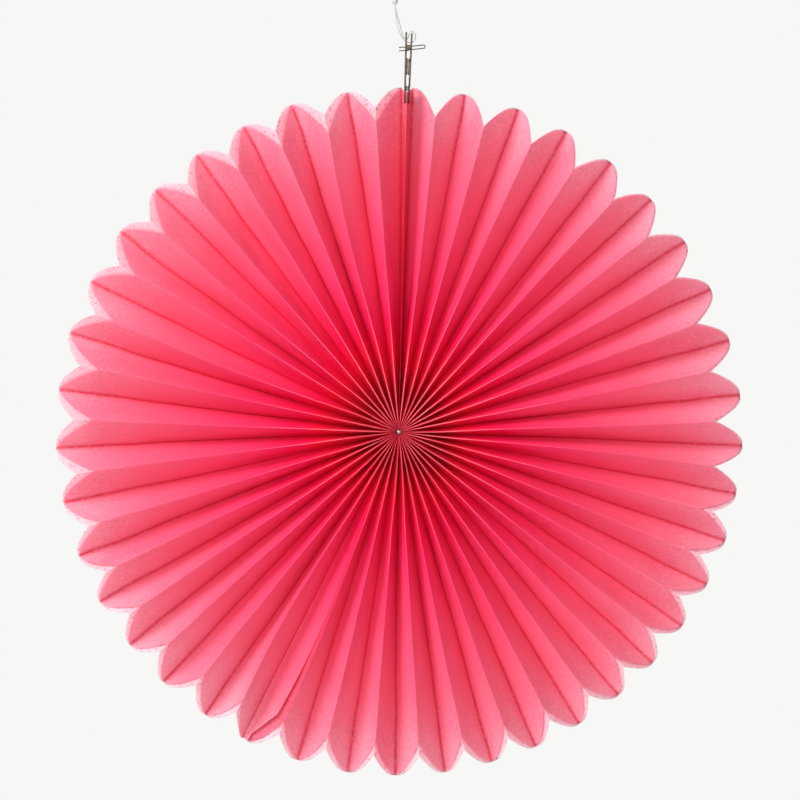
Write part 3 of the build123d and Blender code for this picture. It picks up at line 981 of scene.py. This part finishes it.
    def cross_section(self, sheet: Sheet, panel: Panel, count: int, radius: float,
                      across: float, deep: float) -> tuple[float, float]:
        """Where a column of a panel stands beside and behind the near crease.

        Args:
            sheet: the sheet.
            panel: the panel.
            count: the column, counted from the near crease.
            radius: millimetres from the middle.
            across: the panel's width as seen from the front, in millimetres.
            deep: how far its far crease lies behind the near one, in millimetres.

        Returns:
            Millimetres beside and behind the near crease.
        """
        ridge = panel.near.kind is Fold.RIDGE
        slant = math.hypot(across, deep)
        room = self.size_at(radius, self.front_plies) + self.size_at(radius, self.air)
        layer = min(sheet.layer_gap, self.layer_room_share * room * across / max(deep, self.least_depth))
        outer = min(self.crest_radius, self.crest_width_share * across) if ridge else 0.0
        inner = max(outer - layer, self.least_crest)
        slope = math.atan2(deep, max(across - outer, self.least_width))
        if ridge and count <= self.crest_steps:
            angle = slope * count / self.crest_steps
            return inner * math.sin(angle), outer - inner * math.cos(angle)
        along = self.flat_share(count) if ridge else self.panel_share(panel, count)
        start_x = inner * math.sin(slope) if ridge else 0.0
        start_y = outer - inner * math.cos(slope) if ridge else layer
        end_y = deep + min(layer * slant / max(across, self.least_width), self.valley_room_share * room)
        swell = self.looseness.swell(panel, along, radius, across)
        beside = start_x + (across - start_x) * along + swell * deep / slant
        behind = start_y + (end_y - start_y) * along - swell * across / slant
        return beside, behind

    def crest_glow(self, crease: Crease, radius: float) -> float:
        """How bright the pale line of a ridge is at a radius, from 0 to 1: partly worn fibres, partly
        painted highlight.
        """
        if crease.kind is not Fold.RIDGE:
            return 0.0
        glow = between(crease.turn, self.crest_turns, self.crest_glows)
        uneven = self.glow_level + self.glow_ripple.at(radius, crease.turn)
        return glow * uneven * (self.hub_glow + (1 - self.hub_glow) * ramp(radius, *self.hub_glow_zone))

    def row_radius(self, sheet: Sheet, row: int, end: float) -> float:
        """Radius of a row of the grid, whose rows crowd towards the pin and the rim.

        Args:
            sheet: the sheet.
            row: number of the row.
            end: radius of the paper's end in that column.

        Returns:
            The radius in millimetres.
        """
        if row <= self.inner_rows:
            share = (row / self.inner_rows) ** self.inner_crowding
            return sheet.first_radius + (self.rim_start - sheet.first_radius) * share
        share = (row - self.inner_rows) / self.rim_rows
        return self.rim_start + (end - self.rim_start) * (1 - (1 - share) ** self.rim_crowding)

    def dress(self, sheet: Sheet, mesh: bpy.types.Mesh) -> bpy.types.Object:
        """Give a sheet its paper's thickness, its finish and its place in the frame.

        Args:
            sheet: the sheet.
            mesh: its mesh.

        Returns:
            The piece.
        """
        piece = new_piece(sheet.name, mesh)
        wall = piece.modifiers.new("paper", "SOLIDIFY")
        wall.thickness = self.paper * MM
        wall.offset = -1.0
        mesh.materials.append(sheet.finish.make())
        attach(piece, BODY)
        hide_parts(sheet.node)
        return piece

    def sheets(self) -> list[Sheet]:
        """The layers of both packs."""
        front = dict(finish=FRONT_TISSUE, slot="tissue", rims=self.front_rims)
        rear = dict(finish=REAR_TISSUE, slot="pale_tissue", rims=self.rear_rims, rear=True)
        right, left = self.right_pack(), self.left_pack(flap=True)
        # Painted shade on the seam's panels and on the right pack's last panel, in the flap's shadow
        right_shades = {**dict(enumerate(self.seam.right_shades)), len(right) - 2: self.lap.shade}
        left_shades = dict(enumerate(self.seam.left_shades, start=len(left) - 3))
        packs = (
            ("right", right, right[2:], right_shades),
            ("left", left, self.left_pack(flap=False)[:-2], left_shades),
        )
        made = []
        for side, creases, rear_creases, shades in packs:
            front_node, rear_node = f"tissue_{side}_front", f"tissue_{side}_rear"
            made += [
                Sheet(f"{side}_front_layer", front_node, creases, first_radius=self.radii[0],
                      tip_radius=self.front_tip, shades=shades, **front),
                Sheet(f"{side}_inner_layer", front_node, creases, first_radius=self.inner_start,
                      tip_radius=self.inner_tip, layer_gap=self.inner_gap, **front),
                Sheet(f"{side}_rear_layer", rear_node, rear_creases, first_radius=self.radii[0],
                      tip_radius=self.rear_tip, **rear),
            ]
        return made

    def build(self) -> list[bpy.types.Object]:
        """Build every layer."""
        return [self.make_sheet(sheet) for sheet in self.sheets()]


# Clip, pin and ferrule
class Rod:
    """A round rod in a mesh: it starts as a circle and is drawn straight and bent."""

    def __init__(self, shape: bmesh.types.BMesh, place: Vector, facing: Vector, radius: float) -> None:
        """Start a rod with a circle.

        Args:
            shape: the mesh that it is drawn in.
            place: middle of its start.
            facing: its first direction.
            radius: its radius.
        """
        turn = UP.rotation_difference(facing).to_matrix().to_4x4()
        matrix = Matrix.Translation(place) @ turn
        started = bmesh.ops.create_circle(shape, cap_ends=False, segments=ROD_SIDES, radius=radius,
                                          matrix=matrix)
        self.shape = shape
        self.place = place.copy()
        self.facing = facing.normalized()
        self.radius = radius
        edges = (edge for corner in started["verts"] for edge in corner.link_edges)
        self.ring = list(dict.fromkeys(edges))

    def draw(self, length: float) -> None:
        """Draw the rod straight on."""
        grown = bmesh.ops.extrude_edge_only(self.shape, edges=self.ring)["geom"]
        corners = [item for item in grown if isinstance(item, bmesh.types.BMVert)]
        bmesh.ops.translate(self.shape, vec=self.facing * length, verts=corners)
        self.ring = [item for item in grown if isinstance(item, bmesh.types.BMEdge) and
                     all(corner in corners for corner in item.verts)]
        self.place += self.facing * length

    def bend(self, centre: Vector, axis: Vector, angle: float, steps: int = 8) -> None:
        """Bend the rod round a centre.

        Args:
            centre: middle of the bend.
            axis: the line that it turns about.
            angle: radians.
            steps: how many straight pieces stand for the bend.
        """
        grown = bmesh.ops.spin(self.shape, geom=self.ring, cent=centre, axis=axis, angle=angle,
                               steps=steps, use_duplicate=False)
        self.ring = [item for item in grown["geom_last"] if isinstance(item, bmesh.types.BMEdge)]
        turn = Matrix.Rotation(angle, 3, axis)
        self.place = centre + turn @ (self.place - centre)
        self.facing = turn @ self.facing

    def round_end(self) -> None:
        """Close the rod with a small rounded end."""
        self.draw(self.radius * END_LENGTH_SHARE)
        rim = list(dict.fromkeys(corner for edge in self.ring for corner in edge.verts))
        to_middle = Matrix.Translation(-self.place)
        bmesh.ops.scale(self.shape, vec=(END_WIDTH_SHARE,) * 3, space=to_middle, verts=rim)
        bmesh.ops.holes_fill(self.shape, edges=self.ring, sides=0)


def turned(profile: list[tuple[float, float]], steps: int = 32) -> bmesh.types.BMesh:
    """Turn a profile about the upright axis.

    Args:
        profile: radius and height of its corners, from one pole to the other.
        steps: how many sides stand for a circle.

    Returns:
        The closed shape.
    """
    shape = bmesh.new()
    corners = [shape.verts.new((radius, 0.0, height)) for radius, height in profile]
    lines = [shape.edges.new(pair) for pair in zip(corners, corners[1:])]
    bmesh.ops.spin(shape, geom=corners + lines, cent=(0.0, 0.0, 0.0), axis=UP, angle=math.tau,
                   steps=steps, use_merge=True, use_duplicate=False)
    bmesh.ops.remove_doubles(shape, verts=shape.verts, dist=MERGE_DISTANCE)
    return shape


def hardware_piece(name: str, shape: bmesh.types.BMesh, place: Matrix,
                   finish: MetalFinish | NylonFinish) -> bpy.types.Object:
    """Close a shape's seams, put it in its place and dress it.

    Args:
        name: name of the node that the piece stands for.
        shape: its mesh, in millimetres.
        place: where it goes, in metres.
        finish: its finish.

    Returns:
        The piece.
    """
    bmesh.ops.remove_doubles(shape, verts=shape.verts, dist=MERGE_DISTANCE)
    bmesh.ops.recalc_face_normals(shape, faces=shape.faces)
    bmesh.ops.transform(shape, matrix=place @ Matrix.Scale(MM, 4), verts=shape.verts)
    mesh = new_mesh(name, shape)
    mesh.shade_smooth()
    mesh.set_sharp_from_angle(angle=math.radians(SHARP_ANGLE))
    mesh.materials.append(finish.make())
    piece = new_piece(f"round_{name}", mesh)
    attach(piece, BODY)
    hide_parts(name)
    return piece


@dataclass
class SpringClip:
    """Spring clip on the seam: two eyes of wire, pads, a bridge and a cross wire.

    Sizes are in millimetres. Heights are taken along the clip from the tips of its jaws.
    """

    wire: float = 0.8
    height: float = 31.3
    right_drop: float = 0.5
    depth: float = 4.4
    lean: float = 2.0
    jaw_spread: float = 1.66
    top_spread: float = 2.45
    pads: tuple[Limits, ...] = ((12.6, 19.6), (5.5, 7.6))
    pad_seam: float = 0.16
    pad_depth: float = 3.8
    pad_rounding: float = 0.25
    bridge: Limits = (22.4, 25.5)
    bridge_slant: float = 1.2
    bridge_depth: float = 1.3
    cross_diameter: float = 0.45
    cross_gap: float = 1.45
    cross_height: float = 24.2
    cross_right: float = 7.2
    cross_left: float = 4.2
    cross_tilt: float = 8.0
    cross_bend: float = 0.55
    cross_behind: float = 0.75

    def place(self) -> Matrix:
        """Where the clip stands: its jaw tips on the seam, leaning as the seam does."""
        return Matrix.Translation(CLIP_FOOT) @ Matrix.Rotation(math.radians(self.lean), 4, "Y")

    def arm_offset(self, height: float) -> float:
        """How far an arm's middle stands from the clip's middle at a height."""
        widening = (self.top_spread - self.jaw_spread) * height / (self.height - self.wire)
        return (self.jaw_spread + widening) / 2

    def arm(self, shape: bmesh.types.BMesh, side: int, height: float) -> None:
        """Add one arm: a long closed eye of wire, from front to back.

        Args:
            shape: the clip's mesh.
            side: 1 at the right, -1 at the left.
            height: how high it stands.
        """
        bend = (self.depth - self.wire) / 2
        low, high = self.wire / 2 + bend, height - self.wire / 2 - bend
        low_x, high_x = side * self.arm_offset(low), side * self.arm_offset(high)
        length = math.hypot(high_x - low_x, high - low)
        arm = bmesh.new()
        rod = Rod(arm, -bend * BACK, UP, self.wire / 2)
        rod.draw(length)
        rod.bend(length * UP, RIGHT, -math.pi)
        rod.draw(length)
        rod.bend(Vector((0.0, 0.0, 0.0)), RIGHT, -math.pi)
        bmesh.ops.remove_doubles(arm, verts=arm.verts, dist=MERGE_DISTANCE)
        splay = Matrix.Rotation(math.atan2(high_x - low_x, high - low), 4, "Y")
        bmesh.ops.transform(arm, matrix=Matrix.Translation((low_x, 0.0, low)) @ splay, verts=arm.verts)
        self.join(shape, arm)

    def join(self, shape: bmesh.types.BMesh, part: bmesh.types.BMesh) -> None:
        """Put a finished part into the clip's mesh."""
        mesh = new_mesh("part", part)
        shape.from_mesh(mesh)
        bpy.data.meshes.remove(mesh)

    def block(self, shape: bmesh.types.BMesh, size: Vector, middle: Vector,
              slant: float = 0.0) -> None:
        """Add a block with rounded edges.

        Args:
            shape: the clip's mesh.
            size: its size.
            middle: its middle.
            slant: how much higher its lower edge is at the right.
        """
        part = bmesh.new()
        bmesh.ops.create_cube(part, size=1.0)
        bmesh.ops.scale(part, vec=size, verts=part.verts)
        bmesh.ops.translate(part, vec=middle, verts=part.verts)
        low_right = [corner for corner in part.verts if corner.co.z < middle.z and corner.co.x > middle.x]
        bmesh.ops.translate(part, vec=slant * UP, verts=low_right)
        bmesh.ops.bevel(part, geom=part.edges[:], offset=self.pad_rounding, affect="EDGES", segments=3,
                        profile=0.5, material=-1)
        self.join(shape, part)

    def clip(self) -> bmesh.types.BMesh:
        """The clip in one mesh."""
        shape = bmesh.new()
        for side, height in ((-1, self.height), (1, self.height - self.right_drop)):
            self.arm(shape, side, height)
            for bottom, top in self.pads:
                inner, outer = self.pad_seam / 2, self.arm_offset(top)
                middle = Vector((side * (inner + outer) / 2, 0.0, (bottom + top) / 2))
                self.block(shape, Vector((outer - inner, self.pad_depth, top - bottom)), middle)
        low, high = self.bridge
        front = (self.bridge_depth - self.depth + self.wire) / 2
        size = Vector((2 * self.arm_offset(high), self.bridge_depth, high - low))
        self.block(shape, size, Vector((0.0, front, (low + high) / 2)), self.bridge_slant)
        return shape

    def cross(self) -> bmesh.types.BMesh:
        """The wire through both eyes: closed at the right, with two free ends at the left."""
        shape = bmesh.new()
        bend = self.cross_bend
        start = Vector((-self.cross_left, 0.0, self.cross_gap / 2))
        rod = Rod(shape, start, RIGHT, self.cross_diameter / 2)
        bmesh.ops.holes_fill(shape, edges=rod.ring, sides=0)
        rod.draw(self.cross_left + self.cross_right - bend)
        rod.bend(rod.place - bend * UP, BACK, math.pi / 2)
        rod.draw(self.cross_gap - 2 * bend)
        rod.bend(rod.place - bend * RIGHT, BACK, math.pi / 2)
        rod.draw(self.cross_left + self.cross_right - bend)
        rod.round_end()
        return shape

    def build(self) -> list[bpy.types.Object]:
        """Build the clip and its cross wire."""
        seat = Matrix.Translation(Vector((0.0, self.cross_behind, self.cross_height)) * MM)
        tilt = Matrix.Rotation(-math.radians(self.cross_tilt), 4, "Y")
        cross_place = self.place() @ seat @ tilt
        return [
            hardware_piece("spring_clip", self.clip(), self.place(), CLIP_STEEL),
            hardware_piece("cross_wire", self.cross(), cross_place, CLIP_STEEL),
        ]


@dataclass
class HubPin:
    """The pin through the gathered middle: a domed head in front and a flattened tail behind.

    Sizes are in millimetres, and shank, head, collar and tail are radii.
    """

    shank: float = 0.5
    head: float = 1.15
    head_height: float = 0.75
    collar: float = 1.035
    collar_height: float = 0.03
    tail: float = 1.4
    tail_thickness: float = 0.5
    tail_rounding_share: float = 1 / 3
    dome_steps: int = 8

    def build(self) -> list[bpy.types.Object]:
        """Build the pin, from the front of its node's box to the back."""
        low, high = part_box("hub_pin")
        long = (high.y - low.y) / MM
        dome = [
            (self.head * math.sin(angle), self.head_height * (1 - math.cos(angle)))
            for angle in (math.pi / 2 * step / self.dome_steps for step in range(self.dome_steps + 1))
        ]
        under = self.head_height + self.collar_height
        back, rim = long - self.tail_thickness, self.tail_thickness * self.tail_rounding_share
        profile = dome + [
            (self.collar, under), (self.shank, under), (self.shank, back), (self.tail - rim, back),
            (self.tail, back + rim), (self.tail, long - rim), (self.tail - rim, long), (0.0, long),
        ]
        front = Matrix.Translation((PIN_MIDDLE.x, low.y, PIN_MIDDLE.z))
        place = front @ Matrix.Rotation(-math.pi / 2, 4, "X")
        return [hardware_piece("hub_pin", turned(profile), place, PIN_STEEL)]


@dataclass
class Ferrule:
    """The clear crimped sleeve on the doubled line, waisted between its lips; in millimetres."""

    lip: float = 0.6
    lip_rounding: float = 0.3
    waist_share: float = 0.88
    waist_steps: int = 8

    def build(self) -> bpy.types.Object:
        """Build the sleeve in its node's box."""
        low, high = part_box("line_ferrule")
        radius, long = (high.x - low.x) / 2 / MM, (high.z - low.z) / MM
        depth = radius * (1 - self.waist_share)
        waist = [
            (radius - depth * math.sin(math.pi * share), self.lip + (long - 2 * self.lip) * share)
            for share in (step / self.waist_steps for step in range(self.waist_steps + 1))
        ]
        inner = radius - self.lip_rounding
        profile = [(0.0, 0.0), (inner, 0.0), *waist, (inner, long), (0.0, long)]
        middle = (low + high) / 2
        place = Matrix.Translation((middle.x, middle.y, low.z))
        return hardware_piece("line_ferrule", turned(profile), place, CLEAR_NYLON)


# Clear line
@dataclass
class ClearLine:
    """The doubled nylon line, its ferrule and its hanging loop.

    Sizes are in millimetres, and the routes are from the clip's jaw tips.
    """

    diameter: float = 0.45
    round_steps: int = 3
    smooth_steps: int = 6
    line_length: float = 47.67
    loop_length: float = 35.23
    line_route: tuple[Point, ...] = (
        (-5.07, -0.40, 43.40), (-4.94, -0.42, 40.60), (-4.62, -0.45, 37.60), (-4.17, -0.45, 34.60),
        (-3.37, -0.45, 31.60), (-2.17, -0.35, 28.90), (-0.57, -0.20, 27.05), (1.18, -0.05, 26.50),
        (2.88, 0.00, 26.80), (3.88, 0.00, 28.10), (3.88, 0.00, 29.85), (3.13, 0.00, 31.35),
        (1.68, 0.00, 31.60), (1.03, 0.00, 30.30), (0.88, 0.04, 28.80), (-0.07, 0.08, 27.85),
        (-1.22, 0.15, 28.60), (-1.97, 0.25, 30.30), (-2.57, 0.35, 32.80), (-3.22, 0.40, 35.50),
        (-4.07, 0.42, 38.20), (-4.77, 0.42, 40.90), (-5.07, 0.40, 43.40),
    )
    loop_route: tuple[Point, ...] = (
        (-5.52, 0.00, 48.40), (-5.87, 0.00, 51.20), (-7.02, 0.00, 54.30), (-8.17, 0.00, 57.70),
        (-8.12, 0.00, 61.20), (-6.72, 0.00, 64.00), (-3.42, 0.00, 64.00), (-2.02, 0.00, 61.20),
        (-1.97, 0.00, 57.70), (-3.12, 0.00, 54.30), (-4.27, 0.00, 51.20), (-4.62, 0.00, 48.40),
    )

    def strand(self, name: str, route: tuple[Point, ...], node: str) -> bpy.types.Object:
        """A smooth round line through a route.

        Args:
            name: the piece's name.
            route: its points.
            node: the node that it stands for.

        Returns:
            The piece.
        """
        curve = bpy.data.curves.new(name, "CURVE")
        curve.dimensions = "3D"
        curve.bevel_depth = self.diameter / 2 * MM
        curve.bevel_resolution = self.round_steps
        curve.resolution_u = self.smooth_steps
        curve.use_fill_caps = True
        spline = curve.splines.new("NURBS")
        spline.points.add(len(route) - 1)
        for point, place in zip(spline.points, route):
            point.co = (*(CLIP_FOOT + Vector(place) * MM), 1.0)
        spline.order_u = 3
        spline.use_endpoint_u = True
        curve.materials.append(CLEAR_NYLON.make())
        piece = new_piece(name, curve)
        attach(piece, BODY)
        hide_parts(node)
        return piece

    def build(self) -> list[bpy.types.Object]:
        ferrule = Ferrule().build()
        line = self.strand("nylon_line", self.line_route, "hanging_line")
        loop = self.strand("nylon_loop", self.loop_route, "hanging_loop")
        return [ferrule, line, loop]


# Studio
@dataclass(frozen=True)
class Lamp:
    """A soft square lamp: its place from the disc's middle and its side in metres, its power in watts."""

    name: str
    place: Point
    size: float
    power: float

    def build(self) -> None:
        """Hang the lamp so that it faces the disc."""
        data = bpy.data.lights.new(self.name, "AREA")
        data.shape = "SQUARE"
        data.size = self.size
        data.energy = self.power
        holder = new_piece(self.name, data)
        holder.location = DISC_MIDDLE + Vector(self.place)
        holder.rotation_euler = (-Vector(self.place)).to_track_quat("-Z", "Y").to_euler()


@dataclass
class Studio:
    """Pale floor, soft light and the camera.

    pixel is the size of the picture's pixel at the disc, distance and floor_drop are from the disc's
    middle, and sensor is the camera's, all in millimetres. floor_size and view_depth are in metres.
    """

    pixel: float = 0.436
    middle_pixel: tuple[float, float] = (399.0, 432.0)
    picture: float = 800.0
    distance: float = 1500.0
    sensor: float = 36.0
    view_depth: float = 20.0
    floor_drop: float = 760.0
    floor_size: float = 6.0
    floor_glow: float = 0.6
    room_light: float = 0.26
    bounces: int = 10
    pale: Colour = (0.93, 0.93, 0.915)
    lamps: tuple[Lamp, ...] = (
        Lamp("key", (-1.4, -1.0, 1.2), 0.9, 36.0),
        Lamp("front", (-0.2, -1.9, 0.3), 1.0, 20.0),
        Lamp("fill", (1.3, -1.2, -0.2), 1.2, 2.0),
        Lamp("back", (-0.6, 1.4, 0.9), 1.2, 10.0),
    )

    def camera(self) -> None:
        """The camera, level and square to the disc."""
        middle_x = (self.picture / 2 - self.middle_pixel[0]) * self.pixel
        middle_z = (self.middle_pixel[1] - self.picture / 2) * self.pixel
        data = bpy.data.cameras.new("camera")
        data.sensor_width = self.sensor
        data.lens = self.sensor * self.distance / (self.picture * self.pixel)
        data.clip_end = self.view_depth
        holder = new_piece("camera", data)
        holder.location = DISC_MIDDLE + Vector((middle_x, -self.distance, middle_z)) * MM
        holder.rotation_euler = (math.pi / 2, 0.0, 0.0)
        bpy.context.scene.camera = holder

    def world(self) -> None:
        """A pale room: plain light on the object, and an off-white where it is seen."""
        board = Board(bpy.data.worlds.new("room"))
        rays = board.node("ShaderNodeLightPath").outputs
        seen, mirrored, through = (
            Value(board, rays[name]) for name in ("Is Camera Ray", "Is Glossy Ray", "Is Transmission Ray")
        )
        light = board.node("ShaderNodeBackground", {}, {"Color": WHITE, "Strength": self.room_light})
        plain = board.node("ShaderNodeBackground", {}, {"Color": (*self.pale, 1.0)})
        inputs = {0: seen | mirrored | through, 1: light.outputs[0], 2: plain.outputs[0]}
        mixed = board.node("ShaderNodeMixShader", {}, inputs)
        bpy.context.scene.world = board.finish(mixed, "ShaderNodeOutputWorld")

    def floor(self) -> None:
        """A plain pale floor below the hanging disc."""
        shape = bmesh.new()
        bmesh.ops.create_grid(shape, x_segments=1, y_segments=1, size=self.floor_size / 2)
        drop = self.floor_drop * MM * UP
        bmesh.ops.translate(shape, vec=DISC_MIDDLE - drop, verts=shape.verts)
        mesh = new_mesh("floor", shape)
        board = Board(bpy.data.materials.new("pale_floor"))
        seen = board.value("ShaderNodeLightPath", output="Is Camera Ray") * self.floor_glow
        matt = board.node("ShaderNodeBsdfDiffuse", {}, {"Color": (*self.pale, 1.0)})
        plain = board.node("ShaderNodeEmission", {}, {"Color": (*self.pale, 1.0)})
        inputs = {0: seen, 1: matt.outputs[0], 2: plain.outputs[0]}
        mesh.materials.append(board.finish(board.node("ShaderNodeMixShader", {}, inputs)))
        new_piece("floor", mesh)

    def build(self) -> None:
        """Set up the camera, the lamps, the world and the floor."""
        self.camera()
        for lamp in self.lamps:
            lamp.build()
        self.world()
        self.floor()
        scene = bpy.context.scene
        scene.view_settings.view_transform = "Standard"
        scene.cycles.max_bounces = self.bounces
        scene.cycles.diffuse_bounces = self.bounces
        scene.cycles.transmission_bounces = self.bounces


def main() -> None:
    """Build the rosette and the studio, and report each piece."""
    logging.basicConfig(level=logging.INFO, format="%(message)s")
    Studio().build()
    for assembly in (ClearLine(), SpringClip(), HubPin(), Tissue()):
        for piece in assembly.build():
            log.info("built %s", piece.name)


if __name__ == "__main__":
    main()
